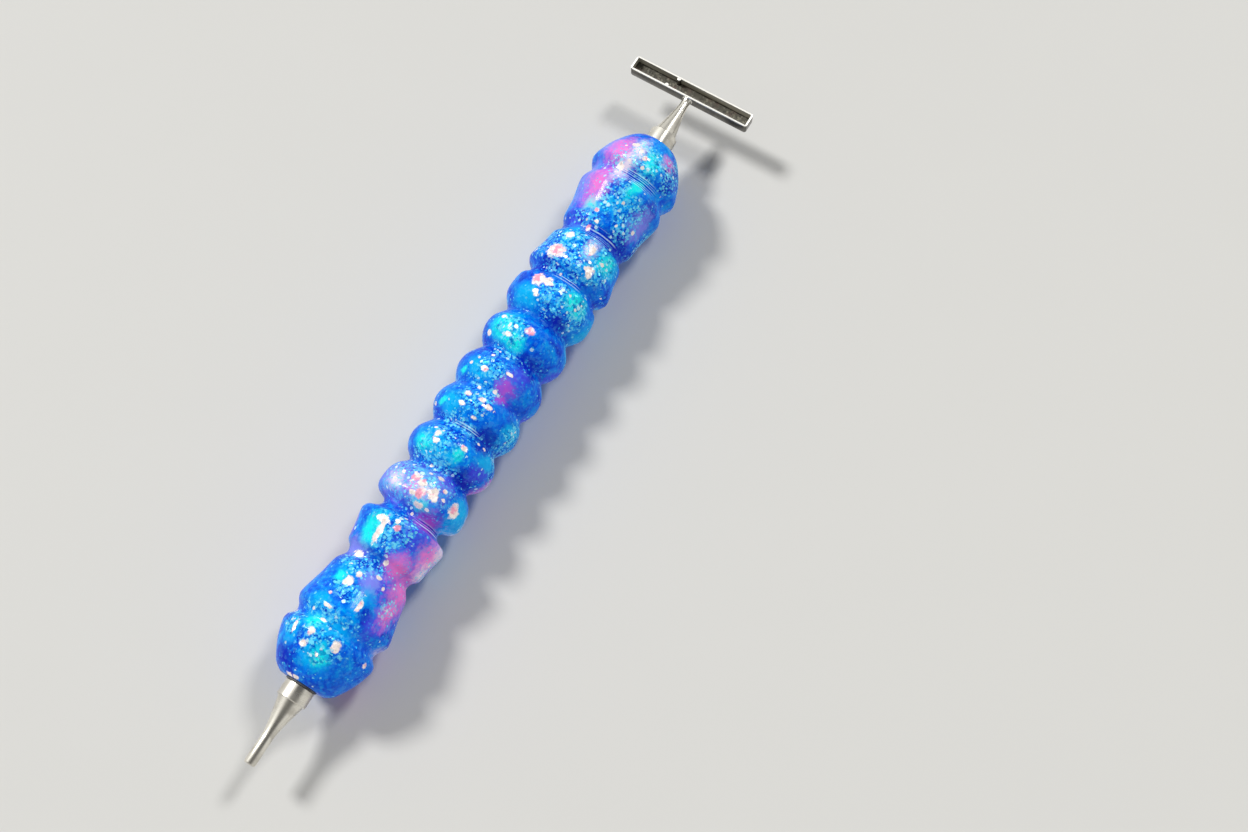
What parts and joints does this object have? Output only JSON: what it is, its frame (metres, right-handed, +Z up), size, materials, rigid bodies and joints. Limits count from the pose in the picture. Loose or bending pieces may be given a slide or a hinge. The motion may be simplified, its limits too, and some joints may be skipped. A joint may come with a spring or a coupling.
{
  "type": "diamond painting pen",
  "caption": "Craft placer pen: beaded turned resin handle with a screw-in tapered single placer at the nose and a screw-in wide trough placer at the tail.",
  "frame": {"origin": "on the surface the pen lies on, below the middle of its overall length", "axes": "+X along the pen from the nose tip to the trough placer, +Y across the pen along the trough, +Z up"},
  "size_m": [0.15, 0.0256, 0.0179],
  "materials": {
    "resin": "translucent cast resin with swirls of blue, cyan and pink, fine glitter and pale flakes, turned and polished to a high gloss",
    "sleeve_brass": "machined brass, hidden inside the handle",
    "ring_nylon": "thin black nylon washer",
    "tip_steel": "polished bright steel with fine turning marks",
    "wax": "thin worn layer of placing wax, speckled grey-brown"
  },
  "bodies": {
    "handle": {"handle": "resin", "nose_sleeve": "sleeve_brass", "tail_sleeve": "sleeve_brass"},
    "nose_ring": {"nose_ring": "ring_nylon"},
    "nose_tip": {"nose_tip": "tip_steel"},
    "tail_ring": {"tail_ring": "ring_nylon"},
    "trough_placer": {"placer_stem": "tip_steel", "placer_trough": "tip_steel", "trough_wax": "wax"}
  },
  "joints": [
    {"name": "nose_tip_travel", "type": "slide", "parent": "handle", "child": "nose_ring", "axis": [-1, 0, 0], "range_m": [0, 0.0056]},
    {"name": "nose_tip_turn", "type": "hinge", "parent": "nose_ring", "child": "nose_tip", "pos_m": [-0.05942, 0, 0.00895], "axis": [-1, 0, 0], "range_deg": [0, 2880]},
    {"name": "trough_placer_travel", "type": "slide", "parent": "handle", "child": "tail_ring", "axis": [1, 0, 0], "range_m": [0, 0.0056]},
    {"name": "trough_placer_turn", "type": "hinge", "parent": "tail_ring", "child": "trough_placer", "pos_m": [0.05958, 0, 0.00895], "axis": [1, 0, 0], "range_deg": [0, 2880]}
  ],
  "couplings": [
    {"joint": "nose_tip_turn", "follows": "nose_tip_travel", "rad_per_m": 8976},
    {"joint": "trough_placer_turn", "follows": "trough_placer_travel", "rad_per_m": 8976}
  ]
}
